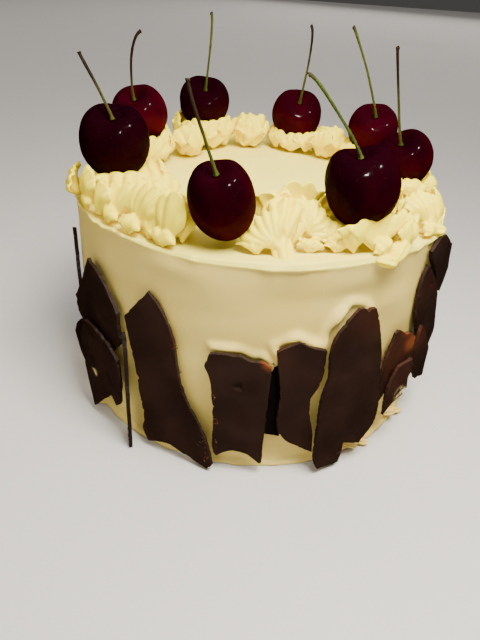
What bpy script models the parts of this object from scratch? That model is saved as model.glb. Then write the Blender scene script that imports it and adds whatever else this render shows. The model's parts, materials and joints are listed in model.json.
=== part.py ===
# Buttercream cake: a smooth round cake with a ring of piped cream, cherries on their stems,
# and broken plates of dark chocolate standing round its side.
# Metres, +Z up, origin at the middle of the base. Azimuth 0 is the front, at -Y, and grows towards +X.
import random
from math import atan, atan2, asin, cos, exp, pi, radians, sin, sqrt, tau

import bmesh
import bpy
from mathutils import Euler, Vector

MM = 0.001
GAP = 0.3                   # mm, air left between pieces that touch
BOWL_GAP = 0.7              # mm, the same round a cherry, where flat faces span a hollow

# Cake, mm
CAKE_RADIUS = 81.0
CAKE_HEIGHT = 94.0
RIM_ROUND = 3.0
FOOT_PROUD = 1.8
FOOT_HEIGHT = 3.2
CAKE_SIDES = 80

# Cherries, mm
CHERRY_SIDES = 20
CHERRY_LEVELS = 11
DIMPLE_DEPTH = 0.18         # of the cherry's radius
DIMPLE_WIDTH = 0.42         # of the cherry's radius
CHERRY_TAPER = 0.07         # how much narrower the lower half is
STEM_RADIUS = 0.75
STEM_FLARE = 0.6
STEM_KNOB = 0.45
STEM_STRAIGHT = 0.12        # of its length, which leaves the dimple along the cherry's axis
STEM_SIDES = 8
STEM_SHARES = (0.0, 0.0, 0.05, 0.14, 0.3, 0.5, 0.72, 0.94, 1.0, 1.0)
STEM_LEVELS = len(STEM_SHARES) - 1

# Cherry, azimuth, distance from the cake's axis, height of its middle, width, height for each mm of
# width, and the stem's root, middle and tip measured from the cherry's middle
CHERRIES = {
    "cherry_1": (-12.1, 67.9, 109.6, 24.4, 1.22, (-2.4, -4.0, 11.9), (-7.4, -4.0, 25.2), (-11.6, -4.0, 39.2)),
    "cherry_2": (32.2, 64.2, 113.9, 28.5, 1.04, (-2.4, 0.0, 11.7), (-12.6, 0.0, 25.3), (-23.6, 0.0, 35.6)),
    "cherry_3": (93.8, 62.9, 108.0, 26.3, 0.92, (-4.9, -3.2, 9.3), (-9.6, -4.1, 27.8), (-13.5, -4.1, 44.9)),
    "cherry_4": (125.1, 64.7, 111.9, 25.6, 0.90, (-0.6, -4.8, 9.6), (-8.8, -6.0, 27.4), (-17.9, -6.0, 44.6)),
    "cherry_5": (164.9, 63.8, 110.2, 27.4, 0.92, (0.9, -5.4, 10.0), (2.6, -6.6, 26.5), (1.6, -6.6, 43.6)),
    "cherry_6": (-150.3, 64.5, 114.6, 27.3, 0.90, (1.3, -5.4, 10.0), (2.8, -6.5, 25.6), (2.9, -6.5, 41.8)),
    "cherry_7": (-112.8, 64.0, 114.3, 27.3, 0.92, (-2.6, -5.2, 10.0), (-2.2, -6.2, 22.0), (2.9, -6.2, 36.1)),
    "cherry_8": (-67.8, 64.7, 114.7, 28.9, 1.02, (0.3, -3.4, 11.6), (-5.0, -3.4, 22.3), (-10.2, -3.4, 32.7)),
}
RED_CHERRIES = ("cherry_4", "cherry_5", "cherry_7")
BROWN_STEMS = ("cherry_3", "cherry_5", "cherry_7", "cherry_8")

# Piped cream, mm
POINTS_PER_LOBE = 4
CREAM_BASE = CAKE_HEIGHT + GAP
CREAM_FILM = 0.5            # the least cream under a cherry
# Share of the plan size, share of the height and groove depth at each level from the base up
NEST_LEVELS = ((0.84, 0.0, 0.14), (1.0, 0.26, 0.24), (0.97, 0.62, 0.26), (0.82, 1.0, 0.20))
CREST_RUFFLE = 0.22
BOWL_LEVELS = (0.56, 0.28, 0.0)
PEAK_LEVELS = ((0.84, 0.0, 0.14), (1.0, 0.22, 0.26), (0.93, 0.48, 0.30), (0.64, 0.74, 0.34),
               (0.27, 0.93, 0.26))

# Nest, azimuth, distance from the axis, half depth, half width, crest height, lobes, turn of the
# lobes from base to crest, how far the crest dips at the rim side, and a tongue: its direction
# from the rim side, its reach and its width
NESTS = {
    "nest_2": (32.6, 66.2, 16.8, 15.2, 11.5, 10, 12, 0.30, (40, 0.10, 30)),
    "nest_3": (93.8, 64.0, 15.0, 14.6, 9.0, 9, -12, 0.0, (0, 0.0, 20)),
    "nest_4": (125.1, 64.5, 15.0, 14.6, 12.0, 9, 14, 0.0, (0, 0.0, 20)),
    "nest_5": (164.9, 63.8, 15.8, 15.4, 11.0, 9, -14, 0.0, (0, 0.0, 20)),
    "nest_6": (-150.3, 64.0, 16.2, 15.2, 14.0, 9, 12, 0.0, (0, 0.0, 20)),
    "nest_7": (-112.0, 63.0, 15.6, 15.2, 13.5, 9, -12, 0.0, (0, 0.0, 20)),
    "nest_8": (-62.6, 66.2, 17.4, 18.4, 12.5, 11, 14, 0.20, (-20, 0.06, 40)),
}
# Dollop, azimuth, distance from the axis, half depth, half width, height, lobes, turn of the lobes
# from base to peak, how far the peak leans to the right and inwards, and a tongue as above
DOLLOPS = {
    "dollop_a": (-34.4, 69.6, 11.6, 11.4, 16.5, 8, 30, (7.5, -1.0), (0, 0.08, 30)),
    "dollop_b": (8.0, 63.5, 14.2, 12.0, 19.0, 10, 24, (1.0, 3.0), (-10, 0.30, 16)),
    "dollop_c": (63.0, 71.0, 14.0, 16.2, 14.0, 10, -22, (1.0, 3.0), (-40, 0.10, 20)),
    "dollop_d": (144.6, 57.6, 10.2, 7.0, 16.0, 7, 24, (0.0, 1.0), (0, 0.0, 20)),
    "dollop_e": (-172.8, 59.5, 13.0, 9.0, 16.5, 8, -26, (0.5, 1.0), (0, 0.0, 20)),
    "dollop_f": (-131.5, 49.5, 9.0, 8.8, 15.0, 7, 28, (0.0, 0.0), (0, 0.0, 20)),
    "dollop_g": (-88.0, 65.0, 11.0, 7.4, 12.5, 8, -24, (0.0, 1.0), (0, 0.0, 20)),
    "dollop_h": (-12.4, 49.0, 7.6, 10.0, 7.0, 8, 20, (0.0, 1.0), (0, 0.0, 20)),
}

# Chocolate, mm
PLATE = 2.2
# Shard, azimuth that its face looks along, distance of that face from the axis at the base, lean
# towards the cake for each mm of height, and its outline: across the face and up
SHARDS = {
    "shard_01": (-72.0, 84.4, 0.0, ((-7, 50), (-9, 62), (-6, 74), (1, 79), (5, 71), (5, 56), (1, 48))),
    "shard_02": (-60.0, 86.0, 0.0, ((-4, 40), (-14, 32), (-22, 22), (-13, 16), (-4, 15), (0, 22), (0, 36))),
    "shard_03": (-47.0, 84.2, 0.0, ((-22, 45), (-23, 53), (-18, 60), (-8, 77), (2, 72), (8, 66), (12, 61),
                                    (12, 56), (13, 47), (5, 38), (-12, 38))),
    "shard_04": (-44.0, 88.2, 0.03, ((-15, 48), (-4, 47), (4, 44), (9, 40), (10.4, 34), (10.4, 19), (8, 15),
                                     (4, 19), (-3, 12), (-11, 3), (-15, 16), (-18, 30), (-19, 38))),
    "shard_05": (-76.5, 65.7, 0.0, ((55, 1), (64, 0.5), (62, 20), (60, 36), (59, 48), (56.5, 56),
                                    (54.5, 46), (56, 22))),
    "shard_06": (-24.0, 85.4, 0.025, ((-6, 77), (-17, 63), (-15, 52), (-13, 43), (-11, 28), (-9, 16),
                                      (-10, 9), (-7, 3), (-2, 5), (3, 6), (11, 4), (22, 1), (24, 4),
                                      (22, 12), (18, 22), (14, 29), (11, 34), (7, 46), (5, 59), (3, 65),
                                      (-2, 73))),
    "shard_07": (-3.0, 86.2, 0.0, ((-11, 60), (-13, 54), (-11, 49), (-10, 41), (-9, 28), (-8, 10), (-7, 8),
                                   (-3, 11), (0, 12), (5, 11), (9, 8), (11, 6), (12, 7), (12, 26), (12, 56),
                                   (9, 58), (4, 58), (0, 60), (-5, 60))),
    "shard_08": (6.0, 83.4, 0.0, ((-2, 20), (-2, 40), (-1, 56), (4, 57), (5, 40), (5, 18))),
    "shard_09": (13.0, 86.0, 0.0, ((-11, 63), (-5, 66), (-3, 67), (2, 64), (8, 62), (8, 49), (7, 45), (5, 40),
                                   (5, 34), (8, 20), (9, 10), (1, 15), (-4, 19), (-6, 22), (-8, 28), (-8, 40),
                                   (-10, 57))),
    "shard_10": (31.0, 88.5, 0.03, ((-9, 79), (-1, 77), (1, 73), (6, 56), (9, 38), (11, 23), (10, 18), (4, 9),
                                    (-5, 13), (-5, 8), (-6, 2), (-17, 3), (-19, 8), (-20, 25), (-20, 41),
                                    (-18, 52), (-19, 61), (-18, 68), (-14, 74))),
    "shard_11": (38.0, 85.3, 0.02, ((4, 24), (3, 36), (3, 46), (6, 59), (8, 60), (13, 57), (16, 56), (20, 53),
                                    (20, 48), (22, 41), (16, 36), (9, 30))),
    "shard_12": (38.0, 88.0, 0.02, ((6, 18), (6, 34), (10, 43), (18, 44), (19, 37), (18, 34), (19, 28),
                                    (16, 28), (17, 25), (11, 23))),
    "shard_13": (48.0, 86.2, 0.0, ((9, 52), (10, 56), (15, 51), (19, 45), (24, 38), (25, 29), (26, 21),
                                   (18, 23), (11, 34))),
    "shard_14": (50.0, 83.4, 0.0, ((2, 78), (4, 84), (11, 78), (20, 68), (25, 59), (29, 48), (31, 41),
                                   (30, 34), (27, 30), (21, 33), (15, 42), (9, 52), (4, 62), (2, 70))),
    "shard_15": (55.0, 83.6, 0.0, ((3, 93.6), (9, 93), (21, 85), (27, 71), (23, 61), (15, 68), (7, 78),
                                   (-1, 85), (-4, 90))),
}
# Shards on the hidden side follow a rule: spread from one azimuth to the other, each with its own
# width, height and broken outline
BACK_SHARDS = 9
BACK_FROM, BACK_TO = 91.0, 262.0
BACK_NEAR, BACK_FAR = 84.4, 87.2
BACK_SEED = 27

COLOURS = {
    "side_cream": ((0.80, 0.72, 0.50), 0.55),
    "piped_cream": ((0.86, 0.77, 0.45), 0.50),
    "dark_cherry": ((0.035, 0.002, 0.006), 0.15),
    "red_cherry": ((0.11, 0.004, 0.012), 0.18),
    "green_stem": ((0.20, 0.22, 0.06), 0.50),
    "brown_stem": ((0.10, 0.07, 0.04), 0.55),
    "chocolate": ((0.030, 0.012, 0.008), 0.42),
}


def clear_scene():
    for old in list(bpy.data.objects):
        bpy.data.objects.remove(old, do_unlink=True)


def material(name):
    colour, roughness = COLOURS[name]
    made = bpy.data.materials.get(name) or bpy.data.materials.new(name)
    made.use_nodes = True
    shader = made.node_tree.nodes["Principled BSDF"]
    shader.inputs["Base Color"].default_value = (*colour, 1.0)
    shader.inputs["Roughness"].default_value = roughness
    shader.inputs["Metallic"].default_value = 0.0
    return made


def add_object(name, bm, finish, location=(0, 0, 0), rotation=(0, 0, 0), smooth=True):
    mesh = bpy.data.meshes.new(name)
    bm.to_mesh(mesh)
    bm.free()
    if smooth:
        mesh.shade_smooth()
        mesh.set_sharp_from_angle(angle=radians(50))
    mesh.materials.append(material(finish))
    made = bpy.data.objects.new(name, mesh)
    made.location = Vector(location) * MM
    made.rotation_euler = rotation
    bpy.context.scene.collection.objects.link(made)
    return made


def round_form(sides, levels, place):
    """A closed form of rings: place(level, angle) gives each point in mm, level 0 is the lower pole."""
    bm = bmesh.new()
    bmesh.ops.create_uvsphere(bm, u_segments=sides, v_segments=levels, radius=1.0)
    for vert in bm.verts:
        height = max(-1.0, min(1.0, vert.co.z))
        level = round((asin(height) / pi + 0.5) * levels)
        vert.co = place(level, atan2(vert.co.y, vert.co.x)) * MM
    return bm


def at_azimuth(azimuth, distance, height=0.0):
    turn = radians(azimuth)
    return Vector((distance * sin(turn), -distance * cos(turn), height))


def facing(azimuth, lean=0.0):
    """Turns a piece's own +X to look away from the cake, leaning in by lean mm for each mm of height."""
    return Euler((0.0, -atan(lean), radians(azimuth - 90)))


def cake():
    foot = CAKE_RADIUS + FOOT_PROUD
    profile = [(0.0, 0.0), (foot - 0.8, 0.0), (foot, 0.9), (foot - 0.5, 2.0), (CAKE_RADIUS, FOOT_HEIGHT)]
    for step in range(4):
        turn = pi / 2 * step / 3
        profile.append((CAKE_RADIUS - RIM_ROUND * (1 - cos(turn)),
                        CAKE_HEIGHT - RIM_ROUND * (1 - sin(turn))))
    profile.append((0.0, CAKE_HEIGHT))

    def place(level, angle):
        radius, height = profile[level]
        return Vector((radius * cos(angle), radius * sin(angle), height))

    add_object("cake", round_form(CAKE_SIDES, len(profile) - 1, place), "side_cream")


def cherry_profile(radius, tall, share):
    """Distance from the cherry's axis and height along it, share 0 at the bottom and 1 at the dimple."""
    turn = pi * (share - 0.5)
    out = radius * cos(turn) * (1 - CHERRY_TAPER * (1 - share) ** 2)
    up = radius * tall * sin(turn)
    if share > 0.5:
        up -= radius * DIMPLE_DEPTH * exp(-(out / (radius * DIMPLE_WIDTH)) ** 2)
    return out, up


def cherry_tilt(root):
    """A cherry stands along the line from its middle to its stem's root."""
    return Vector(root).to_track_quat("Z", "Y")


def cherries():
    for name, (azimuth, distance, height, width, tall, root, middle, tip) in CHERRIES.items():
        centre = at_azimuth(azimuth, distance, height)
        radius = width / 2

        def place(level, angle):
            out, up = cherry_profile(radius, tall, level / CHERRY_LEVELS)
            return Vector((out * cos(angle), out * sin(angle), up))

        bm = round_form(CHERRY_SIDES, CHERRY_LEVELS, place)
        finish = "red_cherry" if name in RED_CHERRIES else "dark_cherry"
        add_object(name, bm, finish, centre, cherry_tilt(root).to_euler())
        dimple = Vector(root).normalized() * (radius * (tall - DIMPLE_DEPTH) + 2 * GAP)
        stem(name, centre, dimple, Vector(middle), Vector(tip))


def stem(cherry, centre, root, middle, tip):
    """A tube on one cubic curve: out of the dimple along the cherry's axis, through its middle point."""
    rise = root + root.normalized() * (tip - root).length * STEM_STRAIGHT
    bend = (middle * 8 - root - tip - rise * 3) / 3

    def place(level, angle):
        share = STEM_SHARES[level]
        rest = 1 - share
        spot = root * rest ** 3 + (rise * rest + bend * share) * 3 * share * rest + tip * share ** 3
        along = (rise - root) * rest ** 2 + (bend - rise) * 2 * share * rest + (tip - bend) * share ** 2
        across = along.cross(Vector((0, 1, 0))).normalized()
        beside = along.cross(across).normalized()
        thick = STEM_RADIUS + STEM_FLARE * exp(-share / 0.05) + STEM_KNOB * exp(-rest / 0.03)
        if level in (0, STEM_LEVELS):
            thick = 0.0
        return spot + across * thick * cos(angle) + beside * thick * sin(angle)

    finish = "brown_stem" if cherry in BROWN_STEMS else "green_stem"
    add_object(cherry.replace("cherry", "stem"), round_form(STEM_SIDES, STEM_LEVELS, place), finish, centre)


def lobe(turns):
    """Round ridges with sharp grooves between them: 1 on a ridge, 0 in a groove."""
    return abs(cos(pi * turns))


def tongue_reach(tongue, angle):
    direction, reach, width = tongue
    away = (angle - radians(direction) + pi) % tau - pi
    return 1 + reach * exp(-(away / radians(width)) ** 2)


def piped_plan(half_depth, half_width, lobes, tongue, uneven):
    """Gives a ring's plan point: +X and angle 0 are the rim side, groove depth and turn as named."""
    def plan(angle, share, groove, turn):
        ridge = lobe(lobes * angle / tau + turn)
        size = share * (1 - groove * (1 - ridge)) * tongue_reach(tongue, angle)
        size *= 1 + uneven[int(lobes * (angle % tau) / tau) % lobes] * share
        return Vector((cos(angle) * half_depth * size, sin(angle) * half_width * size, 0.0))

    return plan


def seat_of(cherry, centre, rotation):
    """The cherry's hollow seen from a piece of cream: its middle, its tilt and its radii."""
    azimuth, distance, height, width, tall, root = cherry[:6]
    turned = rotation.to_quaternion().inverted()
    middle = turned @ (at_azimuth(azimuth, distance, height) - centre)
    wide = width / 2 + BOWL_GAP
    high = width / 2 * tall + BOWL_GAP
    return middle, (turned @ cherry_tilt(root)).inverted(), Vector((1 / wide, 1 / wide, 1 / high))


def under_cherry(spot, seat, lowest):
    """Lowers a point that would be inside the cherry's hollow to the hollow's skin."""
    middle, upright, squash = seat
    foot = upright @ Vector((spot.x - middle.x, spot.y - middle.y, -middle.z)) * squash
    rise = upright @ Vector((0.0, 0.0, 1.0)) * squash
    half = foot.dot(rise) / rise.dot(rise)
    inside = half ** 2 - (foot.dot(foot) - 1) / rise.dot(rise)
    if inside > 0:
        spot.z = max(lowest, min(spot.z, -half - sqrt(inside)))


def nests():
    draw = random.Random(11)
    for name, values in NESTS.items():
        azimuth, distance, half_depth, half_width, crest, lobes, turned, dip, tongue = values
        centre = at_azimuth(azimuth, distance, CREAM_BASE)
        seat = seat_of(CHERRIES[name.replace("nest", "cherry")], centre, facing(azimuth))
        uneven = [draw.uniform(-0.05, 0.03) for _ in range(lobes)]
        plan = piped_plan(half_depth, half_width, lobes, tongue, uneven)
        rise = len(NEST_LEVELS)

        def place(level, angle):
            if level == 0:
                return Vector()
            dipped = 1 - dip * max(0.0, cos(angle)) ** 2
            if level <= rise:
                share, up, groove = NEST_LEVELS[level - 1]
                turn = turned / 360 * lobes * up
                spot = plan(angle, share, groove, turn)
                ruffle = 1 + CREST_RUFFLE * up * (lobe(lobes * angle / tau + turn) - 0.5)
                spot.z += crest * up * dipped * ruffle
            else:
                inner = BOWL_LEVELS[level - rise - 1]
                spot = plan(angle, inner, 0.0, 0.0)
                spot += seat[0].xy.to_3d() * (1 - inner) * 0.7
                spot.z += crest * dipped
            under_cherry(spot, seat, CREAM_FILM if level > 1 else 0.0)
            return spot

        bm = round_form(lobes * POINTS_PER_LOBE, rise + len(BOWL_LEVELS), place)
        add_object(name, bm, "piped_cream", centre, facing(azimuth))


def dollops():
    draw = random.Random(5)
    for name, values in DOLLOPS.items():
        azimuth, distance, half_depth, half_width, tall, lobes, turned, lean, tongue = values
        uneven = [draw.uniform(-0.06, 0.04) for _ in range(lobes)]
        plan = piped_plan(half_depth, half_width, lobes, tongue, uneven)
        top = len(PEAK_LEVELS) + 1

        def place(level, angle):
            if level == 0:
                return Vector()
            share, up, groove = PEAK_LEVELS[level - 1] if level < top else (0.0, 1.0, 0.0)
            spot = plan(angle, share, groove, turned / 360 * lobes * up)
            return spot + Vector((-lean[1] * up ** 2, lean[0] * up ** 2, tall * up))

        bm = round_form(lobes * POINTS_PER_LOBE, top, place)
        add_object(name, bm, "piped_cream", at_azimuth(azimuth, distance, CREAM_BASE), facing(azimuth))


def shard(name, azimuth, distance, lean, outline):
    """A broken plate: its outline drawn on the inner face and given the plate's thickness."""
    bm = bmesh.new()
    corners = [bm.verts.new(Vector((-PLATE, across, up)) * MM) for across, up in outline]
    face = bm.faces.new(corners)
    grown = bmesh.ops.extrude_face_region(bm, geom=[face])
    moved = [item for item in grown["geom"] if isinstance(item, bmesh.types.BMVert)]
    bmesh.ops.translate(bm, verts=moved, vec=Vector((PLATE * MM, 0.0, 0.0)))
    bmesh.ops.recalc_face_normals(bm, faces=bm.faces)
    add_object(name, bm, "chocolate", at_azimuth(azimuth, distance), facing(azimuth, lean), smooth=False)


def back_outline(draw):
    """A tall uneven plate: a slanting top with a corner, sides that wander, a ragged foot."""
    half = draw.uniform(9.5, 14.0)
    tall = draw.uniform(50.0, 80.0)
    slant = draw.uniform(-12.0, 12.0)
    peak = draw.uniform(-0.5, 0.5) * half
    outline = [(-half * draw.uniform(0.75, 0.95), draw.uniform(5, 9)), (-half * 0.2, draw.uniform(3, 6)),
               (half * 0.5, draw.uniform(5, 9)), (half * draw.uniform(0.8, 1.0), draw.uniform(4, 8))]
    outline += [(half * draw.uniform(0.85, 1.0), tall * 0.4), (half, tall * 0.7 + slant * 0.5),
                (half * 0.8, tall * 0.86 + slant * 0.5), (peak, tall)]
    outline += [(-half * 0.75, tall * 0.88 - slant * 0.5), (-half, tall * 0.7 - slant * 0.4),
                (-half * draw.uniform(0.82, 0.98), tall * 0.35)]
    return outline


def shards():
    for name, values in SHARDS.items():
        shard(name, *values)
    draw = random.Random(BACK_SEED)
    first = len(SHARDS) + 1
    for number in range(BACK_SHARDS):
        share = number / (BACK_SHARDS - 1)
        azimuth = BACK_FROM + (BACK_TO - BACK_FROM) * share + draw.uniform(-1.5, 1.5)
        distance = BACK_FAR if number % 2 else BACK_NEAR
        shard("shard_%02d" % (first + number), azimuth, distance, 0.0, back_outline(draw))


clear_scene()
cake()
cherries()
nests()
dollops()
shards()
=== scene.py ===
import json
import random
from math import asin, atan2, cos, exp, pi, radians, sin, sqrt, tau

import bmesh
import bpy
import numpy as np
from mathutils import Matrix, Vector, noise


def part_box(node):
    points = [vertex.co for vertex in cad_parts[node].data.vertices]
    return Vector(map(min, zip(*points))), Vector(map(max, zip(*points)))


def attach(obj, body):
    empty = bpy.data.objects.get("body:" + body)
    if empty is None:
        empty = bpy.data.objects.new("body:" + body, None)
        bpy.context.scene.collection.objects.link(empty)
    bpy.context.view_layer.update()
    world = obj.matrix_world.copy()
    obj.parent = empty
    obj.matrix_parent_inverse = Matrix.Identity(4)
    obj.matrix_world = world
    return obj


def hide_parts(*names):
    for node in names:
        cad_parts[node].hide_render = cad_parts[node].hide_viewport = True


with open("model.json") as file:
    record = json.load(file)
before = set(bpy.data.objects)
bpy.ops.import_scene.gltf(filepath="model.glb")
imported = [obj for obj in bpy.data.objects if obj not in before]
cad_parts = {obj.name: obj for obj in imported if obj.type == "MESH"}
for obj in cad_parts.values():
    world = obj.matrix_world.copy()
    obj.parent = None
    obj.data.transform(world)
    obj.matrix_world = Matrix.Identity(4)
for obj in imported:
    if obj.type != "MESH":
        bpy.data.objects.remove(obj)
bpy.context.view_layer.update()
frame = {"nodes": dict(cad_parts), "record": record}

mm = 0.001


# Shader wiring

class Wire:
    # A socket that takes part in arithmetic. Each operator adds one Math node.
    def __init__(self, paint, socket):
        self.paint = paint
        self.socket = socket

    def calc(self, operation, first, second):
        return self.paint.node("ShaderNodeMath", {"operation": operation}, {0: first, 1: second})

    def __add__(self, other):
        return self.calc("ADD", self, other)

    def __radd__(self, other):
        return self.calc("ADD", other, self)

    def __sub__(self, other):
        return self.calc("SUBTRACT", self, other)

    def __rsub__(self, other):
        return self.calc("SUBTRACT", other, self)

    def __mul__(self, other):
        return self.calc("MULTIPLY", self, other)

    def __rmul__(self, other):
        return self.calc("MULTIPLY", other, self)

    def step(self, low, high):
        return self.paint.node("ShaderNodeMapRange", {"interpolation_type": "SMOOTHSTEP"},
                               {"Value": self, "From Min": low, "From Max": high})


class Paint:
    # A material: node() takes a node's type, its settings and its socket values.
    def __init__(self, name, roughness, **sockets):
        self.material = bpy.data.materials.new(name)
        self.material.use_nodes = True
        self.tree = self.material.node_tree
        self.shader = self.tree.nodes["Principled BSDF"]
        self.shader.inputs["Roughness"].default_value = roughness
        for socket, value in sockets.items():
            self.shader.inputs[socket.replace("_", " ")].default_value = value
        self.place = self.node("ShaderNodeTexCoord", {}, {}, "Object")

    def node(self, kind, settings, values, output=0):
        made = self.tree.nodes.new(kind)
        for setting, value in settings.items():
            setattr(made, setting, value)
        for key, value in values.items():
            if isinstance(value, Wire):
                self.tree.links.new(value.socket, made.inputs[key])
            else:
                made.inputs[key].default_value = value
        return Wire(self, made.outputs[output])

    def noise(self, size, detail, roughness=0.5):
        # size is the width of one patch in mm
        values = {"Vector": self.place, "Scale": 1 / (size * mm), "Detail": detail, "Roughness": roughness}
        return self.node("ShaderNodeTexNoise", {}, values)

    def attribute(self, name):
        return self.node("ShaderNodeAttribute", {"attribute_name": name}, {}, "Fac")

    def mix(self, share, first, second):
        # Colours are (r, g, b), or the wire of another mix. They go to inputs 6 and 7 and come from output 2.
        def colour(value):
            return value if isinstance(value, Wire) else (*value, 1.0)
        values = {0: share, 6: colour(first), 7: colour(second)}
        return self.node("ShaderNodeMix", {"data_type": "RGBA"}, values, 2)

    def feed(self, socket, wire):
        self.tree.links.new(wire.socket, self.shader.inputs[socket])

    def bump(self, height, depth, strength):
        # depth is the relief in mm where height goes from 0 to 1
        values = {"Height": height, "Distance": depth * mm, "Strength": strength}
        self.feed("Normal", self.node("ShaderNodeBump", {}, values))


# Mesh helpers

slots = {part["node"]: part["material_slot"] for part in frame["record"]["subparts"]}


def clamp(value, low=0.0, high=1.0):
    return max(low, min(high, value))


def bell(value, middle, width):
    return exp(-((value - middle) / width) ** 2)


def roundForm(sides, levels, place):
    # Rings worked out by place(level, angle), level 0 is the lower pole
    bm = bmesh.new()
    bmesh.ops.create_uvsphere(bm, u_segments=sides, v_segments=levels, radius=1.0)
    for vert in bm.verts:
        level = round((asin(clamp(vert.co.z, -1.0)) / pi + 0.5) * levels)
        vert.co = place(level, atan2(vert.co.y, vert.co.x)) * mm
    return bm


def joined(forms):
    # One bmesh out of several, which are freed
    bm = bmesh.new()
    for form in forms:
        mesh = bpy.data.meshes.new("part")
        form.to_mesh(mesh)
        form.free()
        bm.from_mesh(mesh)
        bpy.data.meshes.remove(mesh)
    return bm


def atAzimuth(azimuth, distance, height=0.0):
    # A point in mm, from degrees round the cake and the distance from its middle
    turn = radians(azimuth)
    return Vector((distance * sin(turn), -distance * cos(turn), height))


def rough(spot, size, seed=0.0):
    # Smooth noise about 0, spot and size in mm
    return noise.noise(Vector(spot) / size + Vector((seed, seed * 0.7, -seed)))


def addPiece(name, bm, paint, smooth=True):
    mesh = bpy.data.meshes.new(name)
    bm.to_mesh(mesh)
    bm.free()
    if smooth:
        mesh.shade_smooth()
    mesh.materials.append(paint.material)
    made = bpy.data.objects.new(name, mesh)
    bpy.context.scene.collection.objects.link(made)
    return made


def settle(piece, slot, *nodes):
    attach(piece, "root")
    if nodes:
        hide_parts(*nodes)


# Camera at the photograph's place

def placeCamera():
    view = {"place": (-5.4, -246.85, 180.73), "down": 33.2, "roll": 4.1, "lens": 31.5, "sensor": 36.0,
            "nearest": 5.0}
    down = radians(view["down"])
    roll = radians(view["roll"])
    forward = Vector((0.0, cos(down), -sin(down)))
    upright = Vector((0.0, sin(down), cos(down)))
    across = Vector((1.0, 0.0, 0.0))
    right = across * cos(roll) + upright * sin(roll)
    up = upright * cos(roll) - across * sin(roll)
    lens = bpy.data.cameras.new("camera")
    lens.lens = view["lens"]
    lens.sensor_width = view["sensor"]
    lens.clip_start = view["nearest"] * mm
    camera = bpy.data.objects.new("camera", lens)
    turned = Matrix((right, up, -forward)).transposed().to_4x4()
    turned.translation = Vector(view["place"]) * mm
    camera.matrix_world = turned
    bpy.context.scene.collection.objects.link(camera)
    bpy.context.scene.camera = camera
    print("camera placed")


# Cake: smooth side with the marks of a spatula, a soft lip and a thin foot

creamFinish = {"Subsurface_Weight": 0.12, "Subsurface_Scale": 0.003, "Subsurface_Radius": (1.0, 0.9, 0.5),
               "Specular_IOR_Level": 0.12}

cake = {
    "radius": 81.0, "height": 94.0, "lip": 1.1,
    "footProud": 1.8, "footHeight": 3.2,
    "waves": 0.6,  # slow unevenness of the side
    "spatula": 0.22,  # fine unevenness of the side
    "scrapes": 0.25,  # long shallow scrapes round the side
    "ledge": 0.8, "ledgeWander": 1.3,  # the torn lip that the spatula leaves at the rim
    # pale and deep colour the side darker than top, the colour of the top: painted shade on the side, painted
    # light on the top
    "pale": (0.77, 0.60, 0.165), "deep": (0.75, 0.555, 0.135), "top": (0.88, 0.76, 0.13),
    "roughness": 0.42,
    # how finely the mesh is divided
    "sides": 400, "baseRings": 12, "wallRings": 76, "fineRings": 15, "fineTall": 5.0, "lipRings": 12,
    "topRings": 48,
}

# The rounded edge of the foot: how far out from its radius, and up
footEdge = [(-0.8, 0.0), (-0.2, 0.3), (0.0, 0.9), (-0.15, 1.5), (-0.6, 2.1)]

sideMarks = [
    # Dents and swells on the front side: azimuth, height, how wide in degrees, how tall and how far out in mm
    (-9, 82, 10, 9, 0.7), (-22, 88, 8, 4, 0.8), (5, 80, 9, 6, -0.7), (27, 80, 12, 5, -1.0),
    (36, 74, 9, 5, 0.6), (-38, 70, 8, 20, -0.5), (15, 62, 16, 9, 0.4), (48, 66, 6, 18, 0.5),
]

footFlicks = [
    # Cream dragged out at the foot: from, to, radius, ridges
    ((33.0, 81.0, 3.5), (35.5, 85.5, 3.0), 2.2, 5), ((37.0, 81.0, 2.0), (40.5, 85.5, 1.4), 2.2, 4),
    ((53.0, 80.5, 5.0), (56.0, 84.5, 5.5), 2.4, 5), ((57.0, 80.5, 3.0), (61.0, 85.5, 1.6), 2.4, 4),
    ((-52.0, 80.5, 2.0), (-54.0, 86.0, 1.2), 2.0, 4), ((150.0, 80.5, 2.0), (152.0, 86.5, 1.2), 1.7, 4),
    ((-120.0, 80.5, 2.0), (-118.0, 86.5, 1.2), 1.6, 4),
]

squeeze = {
    # Cream stands up along the plates that are pressed into it
    "by": ("shard_07", "shard_09", "shard_10", "shard_17", "shard_20", "shard_22"),
    "above": 52.0,  # only higher than this
    "most": 3.4, "wide": 1.6,  # how far out and how wide the ridge of cream is
    # it starts behind the plate's face, stays short of its back and lies below its edge
    "behind": 1.9, "short": 0.15, "below": 0.6,
}


def sideCreamPaint():
    paint = Paint("sideCream", cake["roughness"], **creamFinish)
    patches = paint.noise(26.0, 4.0)
    streaks = paint.noise(3.2, 5.0, 0.6)
    colour = paint.mix(patches.step(0.3, 0.75), cake["pale"], cake["deep"])
    up = paint.node("ShaderNodeSeparateXYZ", {}, {"Vector": paint.place}, "Z")
    # Painted light: the top is painted a lighter, yellower colour than the side
    paintedLightTop = up.step((cake["height"] - 2.2) * mm, (cake["height"] - 0.4) * mm)
    paint.feed("Base Color", paint.mix(paintedLightTop, colour, cake["top"]))
    paint.feed("Roughness", streaks.step(0.2, 0.9) * 0.16 + (cake["roughness"] - 0.06))
    paint.bump(streaks * 0.5 + paint.noise(0.9, 3.0) * 0.5, 0.12, 0.5)
    return paint


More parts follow.
